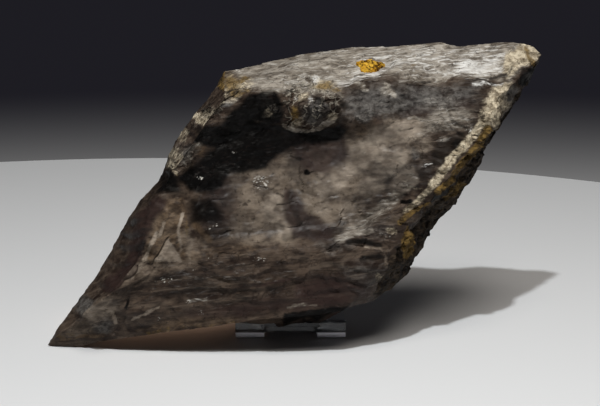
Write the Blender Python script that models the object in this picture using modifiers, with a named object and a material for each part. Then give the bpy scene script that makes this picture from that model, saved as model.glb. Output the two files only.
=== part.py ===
"""Gypsum crystal: a thick smoky blade leaning on a small bent clear stand.

The blade is worked out in its own leaning plane, in millimetres: p runs to the right,
q up the plane and w straight out of it, towards the front. Its surface is a cube's,
carried onto three outlines: the back face, the widest outline halfway through the
thickness, and the front face. Everything is in metres, +Z up, once placed by to_world.
The origin is on the table under the middle of the whole object.
"""

import math

import bmesh
import bpy
from mathutils import Vector, noise

MM = 0.001

# Placing
LEAN = math.radians(14.0)          # how far the blade and the stand's back lean back
CENTRE = (-2.5, 19.35)           # x and y of the object's middle, millimetres
GAP = 0.3                          # left between pieces that touch

# Blade: mesh cells across, up and through
CELLS = (30, 30, 16)
CELL = 6.0                         # the widest cell, the margin round what it rests on
FRONT_LEVEL = 30.0                 # w of the front face
BACK_LEVEL = -30.0                 # w of the back face

# Widest outline, (p, q). Each side runs left to right or bottom to top.
MID_LEFT = [(-126, 0.3), (-117, 14.5), (-102.5, 33), (-88.5, 57.5), (-79, 72.5), (-71, 82),
            (-67.5, 89.5), (-64, 98.5), (-57, 109), (-46.5, 121), (-37.5, 136)]
MID_RIGHT = [(36, 23), (46, 30), (54, 38.5), (63, 53), (68.5, 63), (74.5, 67.5),
             (80.5, 76), (89, 90), (93.5, 100.5), (103, 115.5), (114, 132), (121, 145)]
MID_BOTTOM = [(-126, 0.3), (-119, -1.3), (-112, -0.9), (-99, 2.5), (-84, 5.2), (-69, 7.8),
              (-54, 9.7), (-39, 11.4), (-19, 14.2), (-5.5, 15.8), (8, 16.6), (21, 18.6),
              (30, 21.5), (36, 23)]
MID_TOP = [(-37.5, 136), (-20, 140.5), (0, 144.5), (26, 148.5), (50, 149.3), (70, 151),
           (78, 149), (105, 151.5), (116, 150.5), (121, 145)]
KEEL = [(0.0, 2.0), (0.085, 3.0), (0.23, 12.0), (0.42, 19.0), (0.7, 25.0), (0.93, 24.0),
        (1.0, 12.0)]               # w along the bottom edge

# Outline of the front face
FRONT_LEFT = [(-93, 26), (-80, 41.5), (-75, 52), (-73, 62), (-66, 78), (-60, 93),
              (-48, 112), (-38, 123)]
FRONT_RIGHT = [(41, 46), (48, 52), (55, 62), (64, 72), (68, 79), (73, 85.5), (79, 92.5),
               (84, 97), (92, 108), (96, 122)]
FRONT_BOTTOM = [(-93, 26), (-71, 37), (-48, 40), (-5, 43), (16, 47), (41, 46)]
FRONT_TOP = [(-38, 123), (-29, 127), (19, 126), (58, 129), (96, 122)]

# Outline of the back face
BACK_LEFT = [(-98, 26), (-76, 66), (-56, 98), (-32, 119)]
BACK_RIGHT = [(32, 28), (52, 66), (72, 96), (99, 125)]
BACK_BOTTOM = [(-98, 26), (-45, 19), (-5, 16), (32, 28)]
BACK_TOP = [(-32, 119), (10, 128), (52, 130), (99, 125)]

# Flat cuts: a point of each and its outward normal
CUTS = [((-44, 121, 14), (-1.0, 0.75, 0.55)),    # broken top left corner
        ((46, 38, 22), (0.75, -0.9, 0.75)),      # broken lower right corner
        ((115, 136, 13), (0.7, -0.1, 0.7))]      # right tip

# The underside's seat on the lips: centre p and w, radius along p and w, how far down
SEAT = (-2.0, -8.0, 36.0, 24.0, 7.0)

# Hollow in the front face: walls (from, to, width of the slope), with the hollow on
# the right of each
HOLLOW_DEPTH = 9.0
HOLLOW_WALLS = [((-53, 48), (-64, 84), 13), ((-64, 84), (-46, 114), 17),
                ((-46, 114), (-30, 121), 16), ((-31, 120), (26, 113), 12),
                ((62, 112), (80, 70), 48), ((66, 79), (20, 50), 5),
                ((20, 50), (-50, 43), 12)]

# Lumps and dents on the front face: p, q, radius along p, radius along q, height
LUMPS = [(9, 118, 16, 11, 7.0), (-58, 96, 7, 9, 2.0), (-46, 113, 8, 7, -2.0),
         (60, 63, 15, 6, 2.5), (-79, 47, 12, 5, -2.5), (-70, 40, 9, 5, -1.5),
         (-34, 108, 9, 7, 2.5), (84, 104, 6, 14, 1.5), (-2, 82, 7, 15, -1.8),
         (40, 92, 18, 10, 1.6)]

# Ledges, grown along the crystal's long axis
LONG_AXIS = math.radians(6.5)      # rise of the long axis to the right
LEDGE_SPACING = 8.0
LEDGE_HEIGHT = 1.4
FACE_LEDGES = 0.3                  # their share of that height on the flat faces
PLATEAUS = (26.0, 1.1, 4.0)        # size, height of one step, steps from low to high
ROUGHNESS = (13.0, 1.0)            # size and height of the broken surface
RIM = (0.05, 0.5, 0.2)             # the relief fades to this share at the outline

# Crust on the upper front slope
CRUST_CENTRE = (34.3, 138.0, 14.4)
CRUST_NORMAL = (0.02, 0.804, 0.594)
CRUST_RADII = (6.6, 5.4)           # along the slope's length and up it
CRUST_HEIGHT = 2.2
CRUST_SEAT = (9.0, 13.0)           # the blade is flat inside the first radius

# Stand: one sheet, bent up at the front into two lips and at the back into a rest
SHEET = 2.7
STAND_WIDTH = 55.5
STAND_MIDDLE = -4.75               # x of its middle
LIP_FRONT = 7.0                    # y of the lips' front faces
LIP_HEIGHT = 10.3
BACK_HEIGHT = 60.0                 # length of the leaning back
BEND_RADIUS = 4.0                  # to the middle of the sheet
BEND_STEPS = 5
NOTCH_WIDTH = 26.5
NOTCH_DEPTH = 15.0                 # from the lips' front faces
NOTCH_ROUND = 6.0
BACK_ROUND = 9.0                   # radius of the back's top corners


def smooth(low, high, value):
    """0 below low, 1 above high, and a smooth rise between them."""
    share = min(max((value - low) / (high - low), 0.0), 1.0)
    return share * share * (3.0 - 2.0 * share)


def along(points, share):
    """The point at this share of the way along a line of points."""
    spots = [Vector(point) for point in points]
    lengths = [(end - start).length for start, end in zip(spots, spots[1:])]
    left = share * sum(lengths)
    for start, end, length in zip(spots, spots[1:], lengths):
        if left <= length:
            return start.lerp(end, left / length)
        left -= length
    return spots[-1]


def level_of(points, share):
    """The value at this share, from (share, value) pairs."""
    for (start, low), (end, high) in zip(points, points[1:]):
        if share <= end:
            return low + (high - low) * (share - start) / (end - start)
    return points[-1][1]


def patch(sides, s, t):
    """A point inside four joined sides, s across and t up."""
    left, right, bottom, top = sides
    across = along(left, t).lerp(along(right, t), s)
    up = along(bottom, s).lerp(along(top, s), t)
    low = Vector(bottom[0]).lerp(Vector(bottom[-1]), s)
    high = Vector(top[0]).lerp(Vector(top[-1]), s)
    return across + up - low.lerp(high, t)


MID = (MID_LEFT, MID_RIGHT, MID_BOTTOM, MID_TOP)
FRONT = (FRONT_LEFT, FRONT_RIGHT, FRONT_BOTTOM, FRONT_TOP)
BACK = (BACK_LEFT, BACK_RIGHT, BACK_BOTTOM, BACK_TOP)


def blade_point(a, b, c):
    """A point of the plain blade from a point of the cube's surface, each -1 to 1."""
    s = (a + 1.0) / 2.0
    t = (b + 1.0) / 2.0
    face, level = (FRONT, FRONT_LEVEL) if c >= 0.0 else (BACK, BACK_LEVEL)
    depth = abs(c)
    spot = patch(MID, s, t).lerp(patch(face, s, t), depth)
    keel = level_of(KEEL, s) * (1.0 - t)
    return Vector((spot.x, spot.y, level * depth + keel * (1.0 - depth)))


def hollow(p, q):
    """How far the hollow goes in at a place on the front face."""
    depth = HOLLOW_DEPTH
    for start, end, width in HOLLOW_WALLS:
        run = Vector(end) - Vector(start)
        offset = Vector((p, q)) - Vector(start)
        inside = (offset.x * run.y - offset.y * run.x) / run.length
        depth *= smooth(0.0, width, inside)
    return depth


def lumps(p, q):
    """Height of the named lumps and dents at a place on the front face."""
    height = 0.0
    for centre_p, centre_q, radius_p, radius_q, top in LUMPS:
        reach = math.hypot((p - centre_p) / radius_p, (q - centre_q) / radius_q)
        height += top * (1.0 - smooth(0.25, 1.0, reach))
    return height


def ledges(spot, depth):
    """Flat treads and short risers that follow the long axis, low on the flat faces."""
    v = spot.y * math.cos(LONG_AXIS) - spot.x * math.sin(LONG_AXIS)
    wander = noise.noise(spot / 28.0) * 1.2
    step = v / LEDGE_SPACING + wander
    rise = step - math.floor(step)
    flatness = smooth(0.8, 0.97, depth)
    share = 1.0 + (FACE_LEDGES - 1.0) * flatness
    return LEDGE_HEIGHT * share * (smooth(0.0, 0.3, rise) - rise)


def broken(spot):
    """Height of the broken surface: flat plateaus at several levels, and roughness."""
    size, height, steps = PLATEAUS
    level = noise.noise(spot / size) * steps
    tread = math.floor(level) + smooth(0.65, 1.0, level - math.floor(level))
    fine, fine_height = ROUGHNESS
    return height * tread + fine_height * noise.noise(spot / fine + Vector((7.0, 0, 0)))


def seat(spot, outward):
    """How far the underside comes down to what holds it."""
    centre_p, centre_w, radius_p, radius_w, drop = SEAT
    reach = math.hypot((spot.x - centre_p) / radius_p, (spot.z - centre_w) / radius_w)
    return drop * (1.0 - smooth(0.25, 1.0, reach)) * max(-outward.y, 0.0)


def cut(spot):
    """Bring a point back onto any flat cut that it lies outside."""
    for point, normal in CUTS:
        out = Vector(normal).normalized()
        outside = (spot - Vector(point)).dot(out)
        if outside > 0.0:
            spot = spot - out * outside
    return spot


def crust_axes():
    """The crust's seat: its centre and its axes along, up and out of the slope."""
    out = Vector(CRUST_NORMAL).normalized()
    up = (Vector((0.0, 0.0, -1.0)) + out * out.z).normalized()
    return Vector(CRUST_CENTRE), up.cross(out), up, out


def flatten_seat(spot):
    """Draw the blade onto the crust's plane where the crust sits."""
    centre, _, _, out = crust_axes()
    offset = spot - centre
    height = offset.dot(out)
    reach = (offset - out * height).length
    share = 1.0 - smooth(*CRUST_SEAT, reach)
    near = abs(height) < CRUST_SEAT[1]
    return spot - out * (height * share) if near else spot


def to_world(spot):
    """Lean a point back and stand it on the table, still in millimetres."""
    p, q, w = spot
    return Vector((p, q * math.sin(LEAN) - w * math.cos(LEAN),
                   q * math.cos(LEAN) + w * math.sin(LEAN)))


def rest(spot, point):
    """Flatten the blade where it meets the table, the lips and the stand's back."""
    aside = abs(point.x - STAND_MIDDLE)
    over_stand = aside < STAND_WIDTH / 2.0 + CELL
    over_notch = aside < NOTCH_WIDTH / 2.0 - CELL and point.y < LIP_FRONT + CELL
    if over_stand and spot.z < 0.0 and spot.y < BACK_HEIGHT + 3.0 * CELL:
        point = to_world((spot.x, spot.y, max(spot.z, BACK_LEVEL)))
    floor = 0.0
    if over_stand and point.y > LIP_FRONT - CELL and not over_notch:
        floor = LIP_HEIGHT + GAP
    return Vector((point.x, point.y, max(point.z, floor)))


def placed(point):
    """A table point in millimetres to the object's own frame in metres."""
    return Vector((point.x - CENTRE[0], point.y - CENTRE[1], point.z)) * MM


def cube_surface(cells):
    """A cube from -1 to 1 with this many cells along each axis."""
    bm = bmesh.new()
    bmesh.ops.create_cube(bm, size=2.0)
    for axis, count in enumerate(cells):
        edges = [edge for edge in bm.edges
                 if abs(edge.verts[0].co[axis] - edge.verts[1].co[axis]) > 0.5]
        bmesh.ops.subdivide_edges(bm, edges=edges, cuts=count - 1, use_grid_fill=True)
    return bm


def add_object(name, bm, material, collection):
    mesh = bpy.data.meshes.new(name)
    bm.to_mesh(mesh)
    bm.free()
    mesh.materials.append(material)
    obj = bpy.data.objects.new(name, mesh)
    collection.objects.link(obj)
    return obj


def make_material(name, colour, roughness, transmission=0.0, ior=1.5):
    material = bpy.data.materials.new(name)
    material.use_nodes = True
    shader = material.node_tree.nodes["Principled BSDF"]
    shader.inputs["Base Color"].default_value = (*colour, 1.0)
    shader.inputs["Roughness"].default_value = roughness
    shader.inputs["Metallic"].default_value = 0.0
    shader.inputs["Transmission Weight"].default_value = transmission
    shader.inputs["IOR"].default_value = ior
    return material


def make_crystal(collection):
    bm = cube_surface(CELLS)
    depths = {vert: abs(vert.co.z) for vert in bm.verts}
    for vert in bm.verts:
        vert.co = blade_point(*vert.co)
    bm.normal_update()
    outward = {vert: vert.normal.copy() for vert in bm.verts}
    for vert in bm.verts:
        spot, out, depth = vert.co.copy(), outward[vert], depths[vert]
        front = smooth(0.55, 0.95, spot.z / FRONT_LEVEL)
        inward = front * (hollow(spot.x, spot.y) - lumps(spot.x, spot.y))
        down = seat(spot, out)
        rim = RIM[2] + (1.0 - RIM[2]) * smooth(RIM[0], RIM[1], depth)
        spot += out * (rim * (broken(spot) + ledges(spot, depth)))
        spot -= Vector((0.0, down, inward))
        spot = flatten_seat(cut(spot))
        vert.co = placed(rest(spot, to_world(spot)))
    material = make_material("smoky_gypsum", (0.17, 0.145, 0.125), 0.32, 0.25, 1.52)
    return add_object("crystal", bm, material, collection)


def make_crust(collection):
    """A low lumpy cap with a flat underside, on its seat."""
    centre, along_slope, up_slope, out = crust_axes()
    bm = bmesh.new()
    bmesh.ops.create_icosphere(bm, subdivisions=3, radius=1.0)
    for vert in bm.verts:
        x, y, z = vert.co
        turn = math.atan2(y, x)
        edge = 1.0 + 0.14 * math.sin(3.0 * turn + 0.6) + 0.08 * math.sin(5.0 * turn)
        crumb = 1.0 + 0.7 * noise.noise(Vector((x, y, 0.0)) * 2.6)
        height = GAP + max(z, 0.0) * CRUST_HEIGHT * crumb
        spot = centre + along_slope * (x * edge * CRUST_RADII[0])
        spot += up_slope * (y * edge * CRUST_RADII[1]) + out * height
        vert.co = placed(to_world(spot))
    bmesh.ops.recalc_face_normals(bm, faces=bm.faces[:])
    material = make_material("ochre", (0.62, 0.36, 0.06), 0.85)
    return add_object("ochre_crust", bm, material, collection)


def bend(corner, start, end):
    """Points round one bend: corner is the arc's centre, start and end its angles."""
    step = (end - start) / BEND_STEPS
    turns = [start + step * index for index in range(BEND_STEPS + 1)]
    return [Vector((0.0, corner[0] + BEND_RADIUS * math.cos(turn),
                    corner[1] + BEND_RADIUS * math.sin(turn))) for turn in turns]


def stand_line():
    """The middle of the sheet from the lips' tops to the top of the back."""
    low = SHEET / 2.0
    lip_y = LIP_FRONT + low
    front_bend = bend((lip_y + BEND_RADIUS, low + BEND_RADIUS),
                      math.pi, 1.5 * math.pi)
    # The back lies GAP and half a sheet behind the blade's back face.
    back_w = BACK_LEVEL - GAP - low
    rise = Vector((0.0, math.sin(LEAN), math.cos(LEAN)))
    away = Vector((0.0, -math.cos(LEAN), math.sin(LEAN)))
    arc_w = back_w + BEND_RADIUS
    arc_q = (low + BEND_RADIUS - arc_w * math.sin(LEAN)) / math.cos(LEAN)
    arc = rise * arc_q + away * arc_w
    back_bend = bend((arc.y, arc.z), -0.5 * math.pi, -LEAN)
    top = back_bend[-1] + rise * (BACK_HEIGHT - BEND_RADIUS)
    return [Vector((0.0, lip_y, LIP_HEIGHT))] + front_bend + back_bend + [top]


def make_cutter(name, bm, collection):
    cutter = bpy.data.objects.new(name, bpy.data.meshes.new(name))
    bm.to_mesh(cutter.data)
    bm.free()
    cutter.hide_render = True
    cutter.display_type = "WIRE"
    collection.objects.link(cutter)
    return cutter


def notch_cutter(collection):
    """An upright slot with round inner corners, open to the front."""
    front = LIP_FRONT - 10.0
    back = LIP_FRONT + NOTCH_DEPTH
    bm = bmesh.new()
    bmesh.ops.create_cube(bm, size=1.0)
    bmesh.ops.scale(bm, verts=bm.verts, vec=(NOTCH_WIDTH, back - front, 60.0))
    bmesh.ops.translate(bm, verts=bm.verts, vec=(0.0, (front + back) / 2.0, 0.0))
    corners = [edge for edge in bm.edges
               if all(vert.co.y > LIP_FRONT for vert in edge.verts)
               and abs(edge.verts[0].co.z - edge.verts[1].co.z) > 1.0]
    bmesh.ops.bevel(bm, geom=corners, offset=NOTCH_ROUND, segments=5,
                    affect="EDGES", profile=0.5)
    for vert in bm.verts:
        vert.co = placed(vert.co + Vector((STAND_MIDDLE, 0.0, 0.0)))
    return make_cutter("notch_cutter", bm, collection)


def make_stand(collection, cutters):
    line = stand_line()
    bm = bmesh.new()
    verts = [bm.verts.new(point) for point in line]
    edges = [bm.edges.new(pair) for pair in zip(verts, verts[1:])]
    swept = bmesh.ops.extrude_edge_only(bm, edges=edges)["geom"]
    moved = [item for item in swept if isinstance(item, bmesh.types.BMVert)]
    bmesh.ops.translate(bm, verts=moved, vec=(STAND_WIDTH, 0.0, 0.0))
    top_corners = [vert for vert in bm.verts if (vert.co - line[-1]).yz.length < 0.01]
    bmesh.ops.bevel(bm, geom=top_corners, offset=BACK_ROUND, segments=5,
                    affect="VERTICES", profile=0.5)
    bmesh.ops.recalc_face_normals(bm, faces=bm.faces[:])
    left = Vector((STAND_MIDDLE - STAND_WIDTH / 2.0, 0.0, 0.0))
    for vert in bm.verts:
        vert.co = placed(vert.co + left)
    material = make_material("clear_plastic", (0.9, 0.92, 0.93), 0.06, 1.0, 1.49)
    stand = add_object("stand", bm, material, collection)
    wall = stand.modifiers.new("sheet", "SOLIDIFY")
    wall.thickness = SHEET * MM
    wall.offset = 0.0
    wall.use_even_offset = True
    notch = stand.modifiers.new("notch", "BOOLEAN")
    notch.operation = "DIFFERENCE"
    notch.solver = "EXACT"
    notch.object = notch_cutter(cutters)
    return stand


def main():
    for obj in list(bpy.data.objects):
        bpy.data.objects.remove(obj, do_unlink=True)
    parts = bpy.data.collections.new("gypsum_crystal")
    cutters = bpy.data.collections.new("cutters")
    for collection in (parts, cutters):
        bpy.context.scene.collection.children.link(collection)
    make_crystal(parts)
    make_crust(parts)
    make_stand(parts, cutters)


main()
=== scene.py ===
import math

import bmesh
import bpy
import numpy as np
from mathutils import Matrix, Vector, noise


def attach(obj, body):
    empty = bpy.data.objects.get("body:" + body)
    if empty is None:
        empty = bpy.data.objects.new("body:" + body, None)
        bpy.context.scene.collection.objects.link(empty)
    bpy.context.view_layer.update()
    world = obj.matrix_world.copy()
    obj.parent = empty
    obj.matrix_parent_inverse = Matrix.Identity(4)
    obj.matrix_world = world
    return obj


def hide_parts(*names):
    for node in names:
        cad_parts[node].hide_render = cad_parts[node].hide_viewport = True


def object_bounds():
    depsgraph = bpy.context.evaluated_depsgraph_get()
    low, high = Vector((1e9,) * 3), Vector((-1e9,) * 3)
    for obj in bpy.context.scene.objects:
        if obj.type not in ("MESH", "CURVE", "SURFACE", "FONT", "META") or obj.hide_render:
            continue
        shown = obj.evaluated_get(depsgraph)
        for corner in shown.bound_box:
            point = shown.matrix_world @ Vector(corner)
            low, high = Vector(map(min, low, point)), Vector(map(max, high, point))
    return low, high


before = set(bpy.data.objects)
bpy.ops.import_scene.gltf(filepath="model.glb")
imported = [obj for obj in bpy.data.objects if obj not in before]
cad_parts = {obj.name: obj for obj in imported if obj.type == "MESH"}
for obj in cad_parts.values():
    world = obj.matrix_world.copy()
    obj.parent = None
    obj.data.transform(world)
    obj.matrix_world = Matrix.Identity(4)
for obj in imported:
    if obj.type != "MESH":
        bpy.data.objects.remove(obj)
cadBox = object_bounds()
print("frame loaded:", sorted(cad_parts))

mm = 0.001                           # sizes are in mm, placed pieces in metres

# Where the leaning plane stands: p runs right, q up the plane, w out to the front (mm)
placing = {
    "lean": math.radians(14.0),
    "middle": (-2.5, 19.35),         # x and y of the object's middle, in the plane's own mm
    "gap": 0.3,                      # between the blade and the stand or the crust
}


def smooth(low, high, value):
    share = np.clip((value - low) / (high - low), 0.0, 1.0)
    return share * share * (3.0 - 2.0 * share)


def toTable(p, q, w):
    # leaning plane to the object's own frame, in mm
    lean = placing["lean"]
    return (p - placing["middle"][0],
            q * math.sin(lean) - w * math.cos(lean) - placing["middle"][1],
            q * math.cos(lean) + w * math.sin(lean))


def noiseAt(points, size, seed=0.0):
    shift = Vector((seed, seed * 0.37, -seed * 0.61))
    stretch = np.asarray(points) / np.asarray(size, float)
    return np.array([noise.noise(Vector(row) + shift) for row in stretch])


def addPiece(name, bm, material):
    mesh = bpy.data.meshes.new(name)
    bm.to_mesh(mesh)
    bm.free()
    mesh.materials.append(material)
    piece = bpy.data.objects.new(name, mesh)
    bpy.context.scene.collection.objects.link(piece)
    return piece


# The blade's form, in mm. Outlines run left to right or bottom to top.
blade = {
    "cells": (168, 168, 58),         # across, up, through
    "level": 30.0,                   # w of the front face, and less of the back one
    "keel": [(0.0, 2.0), (0.085, 3.0), (0.23, 12.0), (0.42, 19.0), (0.7, 25.0),
             (0.93, 24.0), (1.0, 12.0)],     # w along the bottom edge
    "middle": {
        "left": [(-126, 0.3), (-117, 14.5), (-102.5, 33), (-88.5, 57.5), (-79, 72.5),
                 (-71, 82), (-67.5, 89.5), (-64, 98.5), (-57, 109), (-46.5, 121),
                 (-37.5, 136)],
        "right": [(36, 23), (46, 30), (54, 38.5), (63, 53), (68.5, 63), (74.5, 67.5),
                  (80.5, 76), (89, 90), (93.5, 100.5), (103, 115.5), (114, 132),
                  (121, 145)],
        "bottom": [(-126, 0.3), (-119, -1.3), (-112, -0.9), (-99, 2.5), (-84, 5.2),
                   (-69, 7.8), (-54, 9.7), (-39, 11.4), (-19, 14.2), (-5.5, 15.8),
                   (8, 16.6), (21, 18.6), (30, 21.5), (36, 23)],
        "top": [(-37.5, 136), (-20, 140.5), (0, 144.5), (26, 148.5), (50, 149.3),
                (70, 151), (78, 149), (105, 151.5), (116, 150.5), (121, 145)],
    },
    "front": {
        "left": [(-93, 26), (-80, 41.5), (-75, 52), (-73, 62), (-66, 78), (-60, 93),
                 (-48, 112), (-38, 123)],
        "right": [(41, 46), (48, 52), (55, 62), (64, 72), (68, 79), (73, 85.5),
                  (79, 92.5), (84, 97), (92, 108), (96, 122)],
        "bottom": [(-93, 26), (-71, 37), (-48, 40), (-5, 43), (16, 47), (41, 46)],
        "top": [(-38, 123), (-29, 127), (19, 126), (58, 129), (96, 122)],
    },
    "back": {
        "left": [(-98, 26), (-76, 66), (-56, 98), (-32, 119)],
        "right": [(32, 28), (52, 66), (72, 96), (99, 125)],
        "bottom": [(-98, 26), (-45, 19), (-5, 16), (32, 28)],
        "top": [(-32, 119), (10, 128), (52, 130), (99, 125)],
    },
    # flat cuts: a point and the outward normal
    "cuts": [((-44, 121, 14), (-1.0, 0.75, 0.55)), ((46, 38, 22), (0.75, -0.9, 0.75)),
             ((115, 136, 13), (0.7, -0.1, 0.7))],
    # the underside's seat on the lips: centre p and w, radius along p and w, how far down
    "seat": (-2.0, -8.0, 36.0, 24.0, 7.0),
    # the hollow in the front face: walls, each with the width of its slope
    "hollowDepth": 9.0,
    "hollowWalls": [((-53, 48), (-64, 84), 13), ((-64, 84), (-46, 114), 17),
                    ((-46, 114), (-30, 121), 16), ((-31, 120), (26, 113), 12),
                    ((62, 112), (80, 70), 48), ((66, 79), (20, 50), 5),
                    ((20, 50), (-50, 43), 12)],
    # lumps and dents: p, q, radius along p, radius along q, height
    "lumps": [(9, 118, 16, 11, 7.0), (-58, 96, 7, 9, 2.0), (-46, 113, 8, 7, -2.0),
              (60, 63, 15, 6, 2.5), (-79, 47, 12, 5, -2.5), (-70, 40, 9, 5, -1.5),
              (-34, 108, 9, 7, 2.5), (84, 104, 6, 14, 1.5), (-2, 82, 7, 15, -1.8),
              (40, 92, 18, 10, 1.6)],
    "longAxis": math.radians(6.5),
    "ledgeSpacing": 8.0,
    "ledgeHeight": 1.4,
    "ledgeWander": (28.0, 1.2),      # size and reach of the ledges' bends
    "faceLedges": 0.3,               # the ledges' share on the flat faces
    "plateaus": (26.0, 1.1, 4.0),    # size, height and number of broken steps
    "roughness": (13.0, 1.0),        # size and height
    "rim": (0.05, 0.5, 0.2),         # relief fades to the last share at the outline
    "sharpFrom": math.radians(38),
    # fine relief
    "crumbs": [(8.0, 0.26), (3.4, 0.34)],   # size of a broken facet and its tilt
    "quietCrumbs": 0.3,                      # their share where the face is smooth
    "streakSize": (18.0, 1.8),               # length and width of a growth streak
    "streakHeight": 0.3,
    "flakeSpacing": 3.1,                     # thin cleavage steps along the long axis
    "flakeHeight": 0.4,
    "flakeWander": ((26.0, 6.0, 6.0), 1.8),  # size and reach of their bends
    "flakePatches": 14.0,                    # size of the patches that have them
    "glassCalm": 0.6,                        # how much of the relief the clear part lacks
    "fineAtRim": 0.35,                       # fine relief's share at the outline
    # where the marks lie
    "spread": 833.0,                         # marks fan out from the middle by w over this
    "spreadFrom": (0.0, 71.0),
    "wobble": [(7.0, 1.1), (2.2, 0.6)],      # size and reach of the marks' ragged edges
    "markDepth": (-12.0, -3.0),              # marks end and patches begin between these w
    "patchSize": 30.0,
}


def alongLine(points, share):
    line = np.array(points, float)
    lengths = np.linalg.norm(np.diff(line, axis=0), axis=1)
    reach = np.concatenate([[0.0], np.cumsum(lengths)])
    return np.stack([np.interp(share * reach[-1], reach, line[:, axis])
                     for axis in range(2)], axis=1)


def patch(sides, s, t):
    # a place within four sides, by its shares across and up
    left, right = alongLine(sides["left"], t), alongLine(sides["right"], t)
    bottom, top = alongLine(sides["bottom"], s), alongLine(sides["top"], s)
    s, t = s[:, None], t[:, None]
    corners = [np.array(sides[side][end], float)
               for side, end in (("bottom", 0), ("bottom", -1), ("top", 0), ("top", -1))]
    low = corners[0] * (1 - s) + corners[1] * s
    high = corners[2] * (1 - s) + corners[3] * s
    return left * (1 - s) + right * s + (bottom - low) * (1 - t) + (top - high) * t


def bladePoints(a, b, c):
    # the cube's surface laid on the three outlines
    s, t, depth = (a + 1) / 2, (b + 1) / 2, np.abs(c)
    face = np.where((c >= 0)[:, None], patch(blade["front"], s, t),
                    patch(blade["back"], s, t))
    spot = patch(blade["middle"], s, t) * (1 - depth[:, None]) + face * depth[:, None]
    shares, levels = zip(*blade["keel"])
    keel = np.interp(s, shares, levels) * (1 - t)
    return np.column_stack([spot, blade["level"] * c + keel * (1 - depth)])


def hollowAt(p, q):
    # full depth inside all the walls, none outside any of them
    depth = np.full(p.shape, blade["hollowDepth"])
    for start, end, width in blade["hollowWalls"]:
        runP, runQ = end[0] - start[0], end[1] - start[1]
        inside = ((p - start[0]) * runQ - (q - start[1]) * runP) / math.hypot(runP, runQ)
        depth = depth * smooth(0.0, width, inside)
    return depth


def lumpsAt(p, q):
    height = np.zeros(p.shape)
    for centreP, centreQ, radiusP, radiusQ, top in blade["lumps"]:
        reach = np.hypot((p - centreP) / radiusP, (q - centreQ) / radiusQ)
        height += top * (1.0 - smooth(0.25, 1.0, reach))
    return height


def ledgesAt(points, depth):
    # growth ledges along the long axis: short rises, long falls
    turn = blade["longAxis"]
    v = points[:, 1] * math.cos(turn) - points[:, 0] * math.sin(turn)
    wanderSize, wander = blade["ledgeWander"]
    step = v / blade["ledgeSpacing"] + noiseAt(points, wanderSize) * wander
    rise = step - np.floor(step)
    flatness = smooth(0.8, 0.97, depth)
    share = 1.0 + (blade["faceLedges"] - 1.0) * flatness
    return blade["ledgeHeight"] * share * (smooth(0.0, 0.3, rise) - rise)


def brokenAt(points):
    # broken steps, with a finer roughness on them
    size, height, steps = blade["plateaus"]
    level = noiseAt(points, size) * steps
    tread = np.floor(level) + smooth(0.65, 1.0, level - np.floor(level))
    fine, fineHeight = blade["roughness"]
    shifted = points / fine + np.array([7.0, 0.0, 0.0])
    return height * tread + fineHeight * noiseAt(shifted, 1.0)


def seatAt(points, outward):
    centreP, centreW, radiusP, radiusW, drop = blade["seat"]
    reach = np.hypot((points[:, 0] - centreP) / radiusP, (points[:, 2] - centreW) / radiusW)
    return drop * (1.0 - smooth(0.25, 1.0, reach)) * np.maximum(-outward[:, 1], 0.0)


def cutFlat(points):
    for point, normal in blade["cuts"]:
        out = np.array(normal) / np.linalg.norm(normal)
        outside = (points - np.array(point, float)) @ out
        points = points - np.outer(np.maximum(outside, 0.0), out)
    return points


def flattenSeat(points):
    centre, _, _, out = (np.array(part) for part in crustAxes())
    offset = points - centre
    height = offset @ out
    reach = np.linalg.norm(offset - np.outer(height, out), axis=1)
    share = (1.0 - smooth(*crust["seat"], reach)) * (np.abs(height) < crust["seat"][1])
    return points - np.outer(height * share, out)


def restOnStand(points):
    # flat where the blade meets the table, the lips and the stand's back
    p, q, w = points.T
    aside = np.abs(p - stand["middle"])
    margin = stand["margin"]
    overStand = aside < stand["width"] / 2 + margin
    low = overStand & (w < 0) & (q < stand["backHeight"] + 3 * margin)
    w = np.where(low, np.maximum(w, -blade["level"]), w)
    x, y, z = toTable(p, q, w)
    fromLips = y + placing["middle"][1] - stand["lipFront"]
    overNotch = (aside < stand["notchWidth"] / 2 - margin) & (fromLips < margin)
    raised = overStand & (fromLips > -margin) & ~overNotch
    floor = np.where(raised, stand["lipHeight"] + placing["gap"], 0.0)
    return np.column_stack([x, y, np.maximum(z, floor)]) * mm


def crumbsAt(points):
    # broken facets: every cell is a small tilted plane
    height = np.zeros(len(points))
    for size, tilt in blade["crumbs"]:
        for index, row in enumerate(points / size):
            spot = Vector(row)
            near = noise.voronoi(spot)[1][0]
            lean = noise.cell_vector(near * 9.7) - Vector((0.5, 0.5, 0.5))
            height[index] += (spot - near).dot(lean) * 2 * tilt * size
    return height


def fineRelief(points, weights):
    turn = blade["longAxis"]
    u = points[:, 0] * math.cos(turn) + points[:, 1] * math.sin(turn)
    v = points[:, 1] * math.cos(turn) - points[:, 0] * math.sin(turn)
    grown = np.column_stack([u, v, points[:, 2]])
    long, wide = blade["streakSize"]
    streaks = noiseAt(grown, (long, wide, wide), 3.0)
    wanderSize, wander = blade["flakeWander"]
    step = v / blade["flakeSpacing"] + wander * noiseAt(grown, wanderSize, 5.0)
    rise = step - np.floor(step)
    patches = smooth(-0.2, 0.3, noiseAt(grown, blade["flakePatches"], 8.0))
    flakes = (smooth(0.0, 0.2, rise) - rise) * patches
    rough = np.maximum.reduce([weights["cream"], weights["rust"], weights["earthAndShade"],
                               0.2 * weights["smokeAndShade"], 0.3 * weights["frostAndHighlight"],
                               weights["curl"]])
    rough = np.maximum(rough * (1 - 0.5 * weights["veil"]), blade["quietCrumbs"])
    smoothed = 1 - 0.75 * np.maximum(weights["veil"], weights["smokeAndShade"])
    return (crumbsAt(points) * rough + blade["streakHeight"] * streaks * smoothed
            + blade["flakeHeight"] * flakes * smoothed * (1 - 0.7 * rough))


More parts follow.
